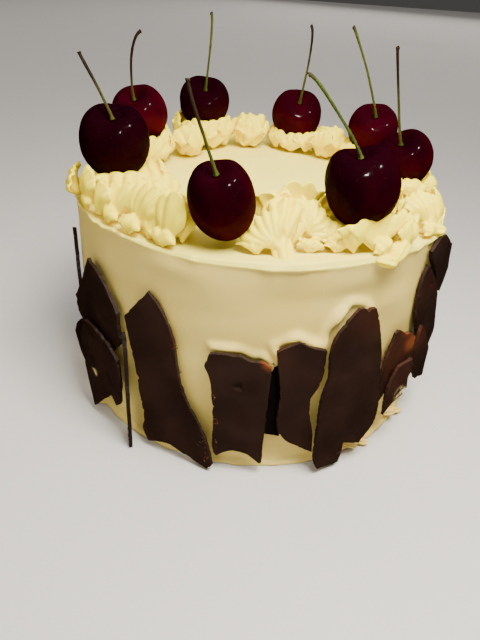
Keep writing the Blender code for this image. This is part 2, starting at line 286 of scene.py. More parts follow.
def cakeProfile():
    # Radius and height of each ring in mm, from the middle of the base to the middle of the top
    radius, height, lip, footTop = (cake[key] for key in ("radius", "height", "lip", "footHeight"))
    foot = radius + cake["footProud"]
    wall = height - lip
    fine = wall - cake["fineTall"]
    flat = radius - lip
    profile = [(foot * step / cake["baseRings"], 0.0) for step in range(cake["baseRings"])]
    profile += [(foot + out, up) for out, up in footEdge]
    profile += [(radius + 0.4, footTop - 0.6), (radius, footTop)]
    for step in range(cake["wallRings"]):
        profile.append((radius, footTop + (fine - footTop) * (step + 1) / cake["wallRings"]))
    for step in range(1, cake["fineRings"]):
        profile.append((radius, fine + (wall - fine) * step / cake["fineRings"]))
    for step in range(cake["lipRings"] + 1):
        turn = pi / 2 * step / cake["lipRings"]
        profile.append((radius - lip * (1 - cos(turn)), height - lip * (1 - sin(turn))))
    for step in range(cake["topRings"]):
        profile.append((flat * (1 - ((step + 1) / cake["topRings"]) ** 1.3), height))
    return profile


def cakeSpot(radius, height, angle):
    # A point of the cream: its place on the profile, pushed out on the side and up on the top
    spot = Vector((radius * cos(angle), radius * sin(angle), height))
    if height <= 0.0 or radius <= 0.0:
        return spot
    away = Vector((cos(angle), sin(angle), 0.0))
    ground = Vector((spot.x, spot.y, 0.0))
    azimuth = np.degrees(atan2(spot.x, -spot.y))
    near = bell(radius, cake["radius"], 9.0) if height > cake["height"] - 4.0 else 1.0
    share = clamp((height - 3.0) / 8.0) * near
    out = rough((spot.x, spot.y, height * 0.25), 34.0, 3.0) * cake["waves"] * share
    out += rough((angle * 14.0, height * 0.9, 0.0), 7.0, 9.0) * cake["spatula"] * share
    out -= max(0.0, rough((angle * 9.0, height * 0.12, 4.0), 2.2, 5.0)) * cake["scrapes"] * share
    out += share * sum(push * bell(azimuth, at, wide) * bell(height, up, tall)
                       for at, up, wide, tall, push in sideMarks)
    if height < 3.0:
        out += rough(ground, 6.0, 8.0) * 0.7
    # The lip at the rim reaches out unevenly, and ends at an uneven height
    edge = rough(ground, 9.0, 2.0) + 0.5 * rough(ground, 3.5, 4.0)
    reach = max(0.0, cake["ledge"] + cake["ledgeWander"] * edge)
    reach *= clamp(0.8 + 1.6 * rough(ground, 24.0, 12.0), 0.15, 1.3)
    drop = 1.5 + 1.0 * rough(ground, 14.0, 7.0)
    out += reach * near * (1 / (1 + exp(-(height - cake["height"] + drop) / 0.28)))
    spot += away * out
    if height > cake["height"] - 0.2:
        # The top has a faint swirl and a raised rim, high at the front and low on the left
        swirl = rough((radius * 2.6, angle * 9.0, 1.0), 8.0, 6.0) * 0.2 + rough(spot, 22.0, 1.0) * 0.4
        rim = bell(radius, cake["radius"] - 3.0, 4.0) * (0.15 + 0.5 * edge)
        tilt = 1.8 * bell(azimuth, 12.0, 30.0) - 2.6 * bell(azimuth, -80.0, 22.0)
        spot.z += swirl * min(1.0, radius / 12.0) - 0.25 + rim
        spot.z += bell(radius, cake["radius"] + 1.0, 7.0) * tilt
    return spot


def squeezeCream(bm):
    # Each point of a plate's edge that is out of the cream draws it out as far, in a narrow ridge
    edges = []
    for number, name in enumerate(squeeze["by"]):
        corners, normal = shardCorners(name)
        for spot in rounded(corners)[::2]:
            inner = (spot - normal * squeeze["behind"] * mm) / mm
            need = sqrt(inner.x ** 2 + inner.y ** 2) - cake["radius"] - squeeze["short"]
            flat = normal.dot(Vector((spot.x, spot.y, 0.0)).normalized())
            if need > 0.0 and flat > 0.7 and inner.z > squeeze["above"]:
                need = min(need, squeeze["most"]) * clamp(0.75 + 1.2 * rough(spot / mm, 9.0, number), 0.4)
                edges.append((atan2(inner.x, -inner.y), inner.z - squeeze["below"], need))
    edges = np.array(edges)
    foot, top = 6.0, cake["height"] - 4.0
    side = [vert for vert in bm.verts if foot < vert.co.z / mm < top]
    spots = np.array([vert.co[:] for vert in side]) / mm
    turns = np.arctan2(spots[:, 0], -spots[:, 1])
    batch = 2000
    for start in range(0, len(side), batch):
        part = slice(start, start + batch)
        away = ((turns[part, None] - edges[None, :, 0] + pi) % tau - pi) * cake["radius"]
        along = spots[part, 2, None] - edges[None, :, 1]
        near = np.exp(-(away ** 2 + along ** 2) / squeeze["wide"] ** 2)
        pushes = (near * edges[None, :, 2]).max(axis=1)
        for vert, push in zip(side[part], pushes):
            vert.co += Vector((vert.co.x, vert.co.y, 0.0)).normalized() * push * mm


def makeCake():
    profile = cakeProfile()
    bm = roundForm(cake["sides"], len(profile) - 1, lambda level, angle: cakeSpot(*profile[level], angle))
    squeezeCream(bm)
    paint = sideCreamPaint()
    piece = addPiece("cakeCream", bm, paint)
    settle(piece, "side_cream", "cake")
    print("cake", len(piece.data.polygons))
    flicks = joined(stroke(*values, groove=0.5, squash=0.6, fullest=0.35, seed=values[0][0])
                    for values in footFlicks)
    settle(addPiece("footCream", flicks, paint), "side_cream")


# Cherries: a dimple round the stem, a cleft across it, a shallow seam down one side, glossy skin

cherrySizes = {
    # azimuth, distance, height of its middle, width, height for each mm of width, then from its middle the
    # root, middle and tip of its stem
    "cherry_1": (-12.1, 67.9, 109.6, 24.4, 1.22, (-2.4, -4.0, 11.9), (-7.4, -4.0, 25.2), (-11.6, -4.0, 39.2)),
    "cherry_2": (32.2, 64.2, 113.9, 28.5, 1.04, (-2.4, 0.0, 11.7), (-12.6, 0.0, 25.3), (-23.6, 0.0, 35.6)),
    "cherry_3": (93.8, 62.9, 108.0, 26.3, 0.92, (-4.9, -3.2, 9.3), (-9.6, -4.1, 27.8), (-13.5, -4.1, 44.9)),
    "cherry_4": (125.1, 64.7, 111.9, 25.6, 0.90, (-0.6, -4.8, 9.6), (-8.8, -6.0, 27.4), (-17.9, -6.0, 44.6)),
    "cherry_5": (164.9, 63.8, 110.2, 27.4, 0.92, (0.9, -5.4, 10.0), (2.6, -6.6, 26.5), (1.6, -6.6, 43.6)),
    "cherry_6": (-150.3, 64.5, 114.6, 27.3, 0.90, (1.3, -5.4, 10.0), (2.8, -6.5, 25.6), (2.9, -6.5, 41.8)),
    "cherry_7": (-112.8, 64.0, 114.3, 27.3, 0.92, (-2.6, -5.2, 10.0), (-2.2, -6.2, 22.0), (2.9, -6.2, 36.1)),
    "cherry_8": (-67.8, 64.7, 114.7, 28.9, 1.02, (0.3, -3.4, 11.6), (-5.0, -3.4, 22.3), (-10.2, -3.4, 32.7)),
}

cherryForm = {
    "redness": {"cherry_1": 0.85, "cherry_2": 0.35, "cherry_3": 0.75, "cherry_4": 1.0, "cherry_5": 0.75,
                "cherry_6": 0.45, "cherry_7": 1.0, "cherry_8": 0.25},
    # shares of the width or of the half width
    "taper": 0.17, "shoulder": 1.08, "dimple": 0.30, "dimpleWidth": 0.40, "cleft": 0.13, "cleftWidth": 0.34,
    "seam": 0.035, "seamWidth": 0.22, "unround": 0.012, "waves": 0.009,
    "sides": 72, "levels": 46,
    # colours: for dark and red skin, the colour of the top, painted dark as shade, and the red of the lower
    # part; then freckles
    "dark": ((0.0045, 0.0003, 0.0016), (0.040, 0.0006, 0.0026)),
    "red": ((0.009, 0.0004, 0.0020), (0.060, 0.0010, 0.0050)),
    "freckle": (0.12, 0.04, 0.04),
}


def cherryPaint(name, skin, redBelowColour):
    paint = Paint(name, 0.3, Coat_Roughness=0.12, Specular_IOR_Level=0.0,
                  Subsurface_Weight=0.08, Subsurface_Scale=0.002, Subsurface_Radius=(1.0, 0.1, 0.1))
    # Painted shade: the top of each cherry takes the darker colour and its lower part the red one
    redBelowShadeAbove = paint.attribute("redBelowShadeAbove") * (paint.noise(11.0, 2.0).step(0.25, 0.7) * 0.7 + 0.3)
    colour = paint.mix(redBelowShadeAbove, skin, redBelowColour)
    freckles = paint.node("ShaderNodeTexVoronoi", {}, {"Vector": paint.place, "Scale": 1 / (1.7 * mm)})
    dots = 1 - freckles.step(0.05, 0.16)
    colour = paint.mix(dots * 0.16, colour, cherryForm["freckle"])
    paint.feed("Base Color", colour)
    paint.feed("Roughness", paint.noise(2.4, 4.0).step(0.3, 0.8) * 0.14 + 0.26)
    paint.feed("Coat Weight", paint.noise(0.7, 3.0).step(0.38, 0.62) * 0.036 + 0.014)
    paint.bump(paint.noise(1.3, 2.0) * 0.6 + dots * -0.3, 0.11, 0.6)
    return paint


def makeCherries():
    paints = {
        "dark_cherry": cherryPaint("darkCherry", *cherryForm["dark"]),
        "red_cherry": cherryPaint("redCherry", *cherryForm["red"]),
    }
    for number, (name, values) in enumerate(cherrySizes.items()):
        azimuth, distance, height, width, tall, root = values[:6]
        centre = atAzimuth(azimuth, distance, height)
        lean = Vector(root).to_track_quat("Z", "Y")
        radius = width / 2
        seamAt = radians(200 + 67 * number)  # turned differently on each

        def place(level, angle):
            share = level / cherryForm["levels"]
            turn = pi * (share - 0.5)
            narrower = 1 - cherryForm["taper"] * (1 - share) ** 1.5
            out = radius * cos(turn) * narrower
            up = radius * tall * sin(turn)
            if share > 0.5:
                # The upper half: broader shoulders, the dimple round the stem and the cleft across it
                out = radius * max(0.0, cos(turn)) ** 0.8 * narrower
                dip = bell(out / radius, 0.0, cherryForm["dimpleWidth"])
                up = up * cherryForm["shoulder"] - radius * cherryForm["dimple"] * dip
                beside = (lean @ Vector((out * cos(angle), out * sin(angle), 0.0))).x
                split = bell(beside / radius, 0.0, cherryForm["cleftWidth"])
                up -= radius * cherryForm["cleft"] * split * sin(turn) ** 2
            away = (angle - seamAt + pi) % tau - pi
            seam = bell(away, 0.0, cherryForm["seamWidth"]) * sin(pi * share) ** 0.5
            out *= 1 - cherryForm["seam"] * seam
            out *= 1 + cherryForm["unround"] * (cos(3 * angle + number) + cos(2 * angle - number) * 2 / 3)
            spot = Vector((out * cos(angle), out * sin(angle), up))
            out *= 1 + cherryForm["waves"] * rough(spot, 2.6, number) * cos(turn)
            return centre + lean @ Vector((out * cos(angle), out * sin(angle), up))

        bm = roundForm(cherryForm["sides"], cherryForm["levels"], place)
        redBelowShadeAbove = bm.verts.layers.float.new("redBelowShadeAbove")
        # The share of red rises towards the bottom, so the top is painted dark as shade
        for vert in bm.verts:
            up = (lean.inverted() @ (vert.co / mm - centre)).z / (radius * tall)
            vert[redBelowShadeAbove] = cherryForm["redness"][name] * clamp(0.85 - 0.75 * up)  # redder below, the top painted dark as shade
        piece = addPiece("cherrySkin." + name[-1], bm, paints[slots[name]])
        settle(piece, slots[name], name)
    print("cherries", len(cherrySizes))


# Stems: a flare in the dimple, a knob at the tip, faint length-wise ridges

stemForm = {
    # where up the stem it turns brown, as a share of its height
    "dryFrom": {"stem_1": 0.25, "stem_2": 1.1, "stem_3": 0.35, "stem_4": 0.85, "stem_5": 0.4, "stem_6": 0.95,
                "stem_7": 0.1, "stem_8": 0.35},
    "radius": 0.62, "flare": 0.6, "knob": 0.4, "gap": 0.3, "straight": 0.12, "dimple": 0.43, "wander": 0.25,
    "ridges": 4, "sides": 20, "levels": 70,
    # colours: fresh and dry, and the specks
    "green": ((0.050, 0.068, 0.007), (0.018, 0.011, 0.004)),
    "brown": ((0.052, 0.056, 0.008), (0.014, 0.007, 0.003)),
    "speck": (0.022, 0.012, 0.006),
}


def stemPaint(name, fresh, dry):
    paint = Paint(name, 0.5, Specular_IOR_Level=0.06)
    colour = paint.mix(paint.attribute("dry"), fresh, dry)
    colour = paint.mix(paint.noise(2.0, 4.0).step(0.45, 0.75) * 0.5, colour, stemForm["speck"])
    paint.feed("Base Color", colour)
    paint.feed("Roughness", paint.noise(0.8, 3.0) * 0.3 + 0.42)
    paint.bump(paint.noise(0.5, 3.0), 0.08, 0.6)
    return paint


def makeStems():
    paints = {
        "green_stem": stemPaint("greenStem", *stemForm["green"]),
        "brown_stem": stemPaint("brownStem", *stemForm["brown"]),
    }
    for number, (cherry, values) in enumerate(cherrySizes.items()):
        azimuth, distance, height, width, tall = values[:5]
        root, middle, tip = (Vector(spot) for spot in values[5:])
        centre = atAzimuth(azimuth, distance, height)
        dimpled = width / 2 * (tall * cherryForm["shoulder"] - stemForm["dimple"])
        root = root.normalized() * (dimpled + 2 * stemForm["gap"])
        # A curve of four points: root, rise, bend and tip, which passes through the middle
        rise = root + root.normalized() * (tip - root).length * stemForm["straight"]
        bend = (middle * 8 - root - tip - rise * 3) / 3

        def place(level, angle):
            share = level / stemForm["levels"]
            rest = 1 - share
            spot = root * rest ** 3 + (rise * rest + bend * share) * 3 * share * rest + tip * share ** 3
            along = (rise - root) * rest ** 2 + (bend - rise) * 2 * share * rest + (tip - bend) * share ** 2
            across = along.cross(Vector((0, 1, 0))).normalized()
            beside = along.cross(across).normalized()
            thick = stemForm["radius"] * (1 - 0.12 * sin(pi * share))
            thick += stemForm["flare"] * exp(-share / 0.05) + stemForm["knob"] * exp(-rest / 0.03)
            ridge = 0.06 * cos(stemForm["ridges"] * angle + 7 * share)
            thick *= 1 + ridge + 0.10 * rough((share * 40, number, 0), 2.0)
            if level in (0, stemForm["levels"]):
                thick = 0.0
            off = rough((share * 3.0, number * 5.0, 1.0), 1.0) * stemForm["wander"] * sin(pi * share)
            return centre + spot + across * off + across * thick * cos(angle) + beside * thick * sin(angle)

        name = cherry.replace("cherry", "stem")
        bm = roundForm(stemForm["sides"], stemForm["levels"], place)
        top = max(vert.co.z for vert in bm.verts)
        low = min(vert.co.z for vert in bm.verts)
        dry = bm.verts.layers.float.new("dry")
        for vert in bm.verts:
            share = (vert.co.z - low) / (top - low)
            vert[dry] = max(clamp((share - stemForm["dryFrom"][name]) / 0.35), 0.9 * bell(share, 1.0, 0.05))
        piece = addPiece("stalk." + name[-1], bm, paints[slots[name]])
        settle(piece, slots[name], name)
    print("stems", len(cherrySizes))


# Piped cream: star-section strokes joined into one form, with painted shade: a deeper yellow in the clefts

def stroke(tail, head, radius, ridges, groove=0.3, squash=0.75, rise=0.0, fullest=0.6, seed=0):
    # One squeeze of a star nozzle from tail to head, both as (azimuth, distance, height)
    start = atAzimuth(*tail)
    end = atAzimuth(*head)
    along = end - start
    way = along.normalized()
    across = way.cross(Vector((0, 0, 1))).normalized()
    upward = across.cross(way).normalized()
    levels = 36
    power = 0.6931 / -np.log(fullest)  # the logarithm of 2 puts the widest place at this share of the way

    def place(level, angle):
        share = level / levels
        spot = start + along * (0.5 - 0.5 * cos(pi * share)) + Vector((0, 0, rise * sin(pi * share)))
        swell = sin(pi * share ** power) ** 0.55 if 0 < level < levels else 0.0
        ridge = abs(cos(ridges * angle / 2)) ** 0.8
        size = radius * swell * (1 - groove * (1 - ridge))
        size *= 1 + 0.10 * rough((share * 6, angle * 2, seed), 1.0, seed)
        return spot + across * size * cos(angle) + upward * size * squash * sin(angle)

    return roundForm(ridges * 8, levels, place)


def cleft(mesh, rounds=36):
    # How deep each vertex lies below the smoothed form, in mm; the paint uses it for painted shade in the
    # clefts
    count = len(mesh.vertices)
    flat = np.empty(count * 3)
    mesh.vertices.foreach_get("co", flat)
    spots = flat.reshape(-1, 3)
    ends = np.empty(len(mesh.edges) * 2, dtype=np.int64)
    mesh.edges.foreach_get("vertices", ends)
    first, second = ends.reshape(-1, 2).T
    degree = np.bincount(np.concatenate([first, second]), minlength=count).astype(float)
    smooth = spots.copy()
    for _ in range(rounds):
        total = np.zeros_like(smooth)
        np.add.at(total, first, smooth[second])
        np.add.at(total, second, smooth[first])
        smooth = total / degree[:, None]
    normals = np.empty(count * 3)
    mesh.vertices.foreach_get("normal", normals)
    depth = ((smooth - spots) * normals.reshape(-1, 3)).sum(axis=1) / mm
    layer = mesh.attributes.new("cleft", "FLOAT", "POINT")
    layer.data.foreach_set("value", depth.astype(np.float32))


def petal(base, facing, low, high, length, pleats, depth=1.0, lean=30.0, dome=2.0, curl=0.0, thick=3.4,
          wave=0.35, point=0.0, fold=0.0, seed=0):
    # A thick pleated petal that opens from its base, between the directions low and high in degrees. As its
    # face is seen, 0 is to the right and 90 is up.
    outward = atAzimuth(facing, 1.0)
    sideways = Vector((-outward.y, outward.x, 0.0))
    tipped = radians(lean)
    upward = Vector((0, 0, cos(tipped))) - outward * sin(tipped)
    front = outward * cos(tipped) + Vector((0, 0, sin(tipped)))
    start = atAzimuth(*base)
    inner = 0.8
    bm = bmesh.new()
    bmesh.ops.create_grid(bm, x_segments=max(24, pleats * 10), y_segments=18, size=1.0)
    grown = bmesh.ops.extrude_face_region(bm, geom=bm.faces[:], use_keep_orig=True)
    for item in grown["geom"]:
        if isinstance(item, bmesh.types.BMVert):
            item.co.z = 1.0
    for vert in bm.verts:
        across = (vert.co.x + 1) / 2
        out = (vert.co.y + 1) / 2
        off = abs(2 * across - 1)
        turn = radians(low + (high - low) * across)
        phase = across * pleats + wave * out ** 2 + 0.2 * rough((across * 3, seed, out), 1.0, seed)
        ridge = abs(sin(pi * phase)) ** 0.6
        uneven = 1 + 0.14 * rough((across * 2.4, seed * 3.1, 2.0), 1.0, seed) - point * off ** 1.3
        reach = (inner + (length - inner) * out) * (1 - 0.13 * (1 - ridge) * out) * uneven
        body = thick * (0.3 + 0.7 * max(0.0, sin(pi * across)) ** 0.5) * (1 - 0.65 * out ** 2)
        proud = (vert.co.z - 0.5) * body + depth * (ridge - 0.6) * min(1.0, 1.6 * out)
        proud += fold * (1 - off) * min(1.0, 1.5 * out)
        proud += (dome * sin(pi * min(1.0, out * 0.9)) + curl * out ** 3
                  + 0.5 * rough((across * 3, out * 2, seed), 1.0, seed))
        vert.co = (start + (sideways * cos(turn) + upward * sin(turn)) * reach + front * proud) * mm
    bmesh.ops.recalc_face_normals(bm, faces=bm.faces)
    return bm


creamForms = {
    # Strokes: tail, head, radius, ridges. Petals: base, facing, low, high, length, pleats. Last is what
    # differs from the usual stroke or petal.
    "nest_8": {
        "strokes": [
            ((-62, 66, 94), (-66, 66, 103), 14.5, 11, {"squash": 0.9}),
            ((-50, 70, 94), (-58, 62, 104), 9.0, 9, {}),
            ((-80, 64, 94), (-90, 60, 104), 9.5, 9, {}),
            ((-52, 54, 94), (-72, 52, 103), 9.0, 9, {}),
        ],
        "petals": [
            ((-60, 79, 95), -64, 45, 150, 15.0, 4,
             {"lean": 16, "point": 0.2, "dome": 1.6, "fold": 1.4, "depth": 0.8}),
            ((-68, 81, 94), -86, 30, 130, 13.0, 5, {"lean": 4, "depth": 0.9}),
            ((-51, 79, 94), -54, 48, 128, 14.0, 3,
             {"lean": 20, "point": 0.2, "depth": 0.8, "fold": 1.6, "dome": 1.4}),
            ((-45, 77, 94), -38, 52, 128, 16.0, 3,
             {"lean": 20, "dome": 1.4, "fold": -1.0, "depth": 0.7, "thick": 3.0}),
            ((-38, 63, 95), -15, 20, 120, 11.0, 2, {"lean": 30}),
            ((-90, 72, 95), -95, 40, 140, 13.0, 4, {"lean": 8}),
            ((-77, 81, 94), -88, 30, 140, 10.0, 4, {"lean": 12}),
            ((-66, 46, 95), 110, 20, 160, 12.0, 4, {"lean": 10}),
            ((-48, 52, 95), 60, 20, 160, 11.0, 3, {"lean": 15}),
            ((-46, 80, 94), -42, 20, 130, 7.5, 2, {"lean": 46, "thick": 3.6, "curl": 1.0}),
            ((-58, 81, 94), -60, 30, 150, 6.0, 3, {"lean": 40, "thick": 3.2}),
        ],
    },
    "dollop_a": {
        "strokes": [
            ((-31, 69, 94), (-32, 62, 103), 9.5, 9, {}),
            ((-27, 72, 94), (-25, 68, 104), 5.0, 7, {}),
        ],
        "petals": [
            ((-36, 75, 94), -42, 42, 138, 18.5, 6, {"lean": 20, "dome": 2.6, "depth": 0.6, "thick": 2.8}),
            ((-25, 77, 94), -28, 50, 128, 20.5, 3,
             {"lean": 14, "depth": 0.8, "fold": 1.6, "dome": 0.8, "point": 0.5, "thick": 3.0}),
            ((-30, 78, 94), -44, 80, 150, 11.0, 2, {"lean": 24, "depth": 0.5, "dome": 0.8, "thick": 2.8}),
            ((-22, 74, 94), -12, 55, 115, 13.0, 2, {"lean": 24}),
            ((-28, 60, 95), 150, 30, 150, 13.0, 4, {"lean": 20}),
            ((-37, 80, 94), -36, 20, 150, 7.0, 2, {"lean": 50, "thick": 3.6, "curl": 1.2}),
            ((-26, 80, 94), -24, 10, 150, 7.0, 3, {"lean": 50, "thick": 3.4, "curl": 1.2}),
        ],
    },
    "dollop_b": {
        "strokes": [
            ((7, 66, 94), (9, 54, 106), 9.5, 11, {"squash": 1.0}),
            ((16, 64, 94), (17, 57, 103), 8.5, 9, {}),
            ((5, 65, 101), (7, 77, 90), 4.2, 5, {"fullest": 0.55, "squash": 0.8}),
        ],
        "petals": [
            ((5, 72, 96), -8, 88, 182, 14.5, 6, {"lean": 38, "wave": 0.5}),
            ((7, 70, 97), 4, 66, 112, 16.0, 2, {"lean": 42, "depth": 1.2, "thick": 3.8}),
            ((13, 65, 99), 17, -30, 118, 12.0, 6, {"lean": 36, "wave": -0.5}),
            ((3, 56, 95), -176, 50, 130, 17.0, 3, {"lean": 2}),
            ((12, 55, 95), -165, 55, 130, 19.0, 3, {"lean": 4, "curl": 1.5}),
            ((16, 54, 95), 160, 20, 140, 14.0, 4, {"lean": 12}),
            ((14, 71, 94), 14, 10, 150, 6.0, 3, {"lean": 50, "thick": 3.4}),
            ((-1, 73, 94), -4, 40, 160, 6.0, 3, {"lean": 55, "thick": 3.0}),
        ],
    },
    "nest_2": {
        "strokes": [
            ((33, 66, 94), (33, 62, 99), 13.5, 11, {"squash": 0.8}),
            ((30, 80, 94), (35, 84, 93), 3.2, 5, {"groove": 0.35}),
            ((34, 84, 93), (40, 80, 97), 3.4, 5, {"groove": 0.35, "rise": 1.0}),
            ((24, 50, 95), (40, 50, 101), 9.0, 9, {}),
        ],
        "petals": [
            ((32.5, 76, 94), 30, 38, 142, 14.5, 3,
             {"lean": 2, "dome": 0.6, "fold": -2.6, "point": -0.15, "depth": 0.4}),
            ((26, 74, 94), 17, 66, 128, 12.5, 2, {"lean": 2, "dome": 1.0, "fold": 1.2}),
            ((39, 75, 94), 44, 40, 100, 12.5, 2, {"lean": 6, "dome": 1.0, "fold": 1.4}),
            ((22, 66, 94), 8, 40, 140, 10.0, 3, {"lean": 10}),
            ((22, 73, 94), 20, 30, 150, 6.5, 3, {"lean": 45, "thick": 3.4}),
            ((41, 79, 94), 46, 50, 130, 11.0, 2, {"lean": 5}),
            ((44, 72, 94), 60, 30, 150, 12.0, 4, {"lean": 4}),
            ((33, 80, 94), 33, 20, 160, 6.5, 4, {"lean": 30, "thick": 3.2}),
            ((33, 48, 94), -147, 20, 160, 12.0, 6, {"lean": 10}),
        ],
    },
    "dollop_c": {
        "strokes": [
            ((56, 77, 94), (60, 67, 104), 11.0, 9, {}),
            ((56, 77, 96), (58, 84, 96), 3.6, 5, {"fullest": 0.4}),
        ],
        "petals": [
            ((53, 78, 95), 55, 0, 62, 15.0, 3, {"lean": 25, "depth": 1.2}),
            ((55, 77, 96), 50, 46, 134, 15.5, 4, {"lean": 36, "dome": 2.6}),
            ((47, 76, 94), 40, 50, 140, 10.5, 3, {"lean": 25}),
            ((70, 76, 94), 85, 20, 160, 13.0, 4, {"lean": 14}),
            ((62, 60, 94), -120, 20, 160, 12.0, 5, {"lean": 15}),
            ((54, 81, 94), 54, 20, 160, 6.5, 4, {"lean": 45, "thick": 3.2}),
        ],
    },
}


def ringForms(name, draw):
    # Cream on the far side: petals all round the piece's own place, and a core inside them
    low, high = (Vector(corner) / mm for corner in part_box(name))
    middle = (low + high) / 2
    wide = (high.x - low.x + high.y - low.y) / 4
    tall = high.z - low.z
    nest = name.startswith("nest")
    if nest:
        turns, reach, leans, coreTall = (-42, 0, 42, 100, 150, 210, 260), (0.72, 0.82), (-2, 10), 0.55
    else:
        turns, reach, leans, coreTall = (-30, 32, 110, 180, 250), (0.42, 0.55), (10, 20), 0.9
    at = np.degrees(atan2(middle.x, -middle.y))
    petals = []
    for number, turn in enumerate(turns):
        way = at + 180 + turn + draw.uniform(-8, 8)
        spot = middle + atAzimuth(way, wide * draw.uniform(*reach))
        base = (np.degrees(atan2(spot.x, -spot.y)), sqrt(spot.x ** 2 + spot.y ** 2), low.z)
        opened = draw.uniform(44, 58)
        length = tall * draw.uniform(0.88, 1.04) + 0.5
        pleats = draw.choice((3, 4, 4, 5))
        differs = {"depth": draw.uniform(0.7, 1.0), "seed": number, "thick": 3.4, "dome": 2.4,
                   "point": draw.uniform(0.0, 0.15), "lean": draw.uniform(*leans)}
        petals.append((base, way, 90 - opened, 90 + opened, length, pleats, differs))
    away = sqrt(middle.x ** 2 + middle.y ** 2)
    core = ((at, away, low.z), (at + 0.5, away, low.z + tall * coreTall), wide * 0.9, 9, {})
    return {"strokes": [core], "petals": petals}


def clearOfCherries(bm):
    # Cream gives way to the fruit that is pressed into it
    air = 0.25
    for azimuth, distance, height, width, tall, root in (values[:6] for values in cherrySizes.values()):
        centre = atAzimuth(azimuth, distance, height) * mm
        turned = Vector(root).to_track_quat("Z", "Y")
        back = turned.inverted()
        wide = (width / 2 + air) * mm
        high = (width / 2 * tall + air) * mm
        for vert in bm.verts:
            spot = back @ (vert.co - centre)
            below = clamp(0.5 - spot.z / (2 * high))
            across = wide * (1 - cherryForm["taper"] * below ** 1.5)
            inside = sqrt((spot.x ** 2 + spot.y ** 2) / across ** 2 + spot.z ** 2 / high ** 2)
            if 0.0 < inside < 1.0:
                vert.co = centre + turned @ (spot / inside)


cream = {
    # middle and deep are painted shade: the deeper yellows that the clefts take
    "pale": (0.94, 0.75, 0.022), "middle": (0.94, 0.72, 0.005), "deep": (0.93, 0.64, 0.001),
    "patch": (0.94, 0.76, 0.06), "roughness": 0.42,
    "voxel": 0.40, "smoothing": 2,
    "sunk": 0.6,  # how far it reaches into the cake's top
    "rim": 76.0, "overRim": 4.0,  # past this distance it may hang lower
}


def pipedCreamPaint():
    paint = Paint("pipedCream", cream["roughness"], **creamFinish)
    depth = paint.attribute("cleft")
    # Painted shade: the deeper a point lies in a cleft, the deeper its yellow, standing in for the shade and
    # bounced light there
    colour = paint.mix(depth.step(0.02, 0.5), cream["pale"], cream["middle"])
    colour = paint.mix(depth.step(0.45, 1.3), colour, cream["deep"])
    colour = paint.mix(paint.noise(9.0, 3.0).step(0.45, 0.8) * 0.35, colour, cream["patch"])
    paint.feed("Base Color", colour)
    paint.bump(paint.noise(1.2, 4.0), 0.10, 0.5)
    return paint


def melted(name, bm, paint):
    # The overlapping squeezes become one closed skin
    holder = addPiece(name, bm, paint)
    remesh = holder.modifiers.new("remesh", "REMESH")
    remesh.mode = "VOXEL"
    remesh.voxel_size = cream["voxel"] * mm
    shown = holder.evaluated_get(bpy.context.evaluated_depsgraph_get())
    holder.data = bpy.data.meshes.new_from_object(shown)
    holder.modifiers.clear()
    return holder


def makePipedCream():
    paint = pipedCreamPaint()
    floor = (cake["height"] - cream["sunk"]) * mm
    draw = random.Random(8)
    for name in sorted(frame["nodes"]):
        if not name.startswith(("nest", "dollop")):
            continue
        forms = creamForms.get(name) or ringForms(name, draw)
        parts = [stroke(*values[:-1], **{"seed": number, **values[-1]})
                 for number, values in enumerate(forms["strokes"])]
        parts += [petal(*values[:-1], **{"seed": number + 20, **values[-1]})
                  for number, values in enumerate(forms["petals"])]
        holder = melted("cream." + name, joined(parts), paint)
        bm = bmesh.new()
        bm.from_mesh(holder.data)
        for _ in range(cream["smoothing"]):
            bmesh.ops.smooth_vert(bm, verts=bm.verts, factor=0.4,
                                  use_axis_x=True, use_axis_y=True, use_axis_z=True)
        clearOfCherries(bm)
        for vert in bm.verts:
            over = sqrt(vert.co.x ** 2 + vert.co.y ** 2) >= cream["rim"] * mm
            vert.co.z = max(vert.co.z, floor - cream["overRim"] * mm if over else floor)
        bm.to_mesh(holder.data)
        bm.free()
        holder.data.shade_smooth()
        holder.data.materials.clear()
        holder.data.materials.append(paint.material)
        cleft(holder.data)
        settle(holder, "piped_cream", name)
        print(holder.name, len(holder.data.polygons))


# Chocolate: broken plates with ragged edges, rough where they broke

chocolate = {
    "pale": (0.0290, 0.0115, 0.0066), "deep": (0.0180, 0.0066, 0.0034),
    # dark is painted shade, nearly black, for shard_08 in the shadowed gap between its neighbours; shard_05
    # also takes part of it
    "broken": (0.016, 0.0055, 0.0026), "ruddy": (0.060, 0.015, 0.006), "dark": (0.006, 0.0022, 0.0012),
    "thin": (0.22, 0.052, 0.007),  # where light comes through
    "smear": (0.80, 0.64, 0.24),  # cream on the face
}


def chocolatePaint():
    paint = Paint("chocolate", 0.4, Specular_IOR_Level=0.22)
    broken = paint.attribute("broken")
    haze = paint.noise(14.0, 4.0).step(0.35, 0.75)
    colour = paint.mix(haze, chocolate["deep"], chocolate["pale"])
    colour = paint.mix(broken * 0.7, colour, chocolate["broken"])
    # ruddy patches, thin where light comes through, and dark as painted shade
    for look in ("ruddy", "dark", "thin"):
        colour = paint.mix(paint.attribute(look), colour, chocolate[look])
    smear = paint.attribute("smear") * paint.noise(2.2, 4.0).step(0.42, 0.62)
    colour = paint.mix(smear, colour, chocolate["smear"])
    paint.feed("Base Color", colour)
    paint.feed("Roughness", paint.noise(5.0, 5.0).step(0.3, 0.8) * 0.16 + 0.38 + broken * 0.2 + smear * 0.2)
    paint.bump(paint.noise(6.0, 5.0) * 0.6 + paint.noise(0.7, 4.0) * broken, 0.25, 0.5)
    return paint


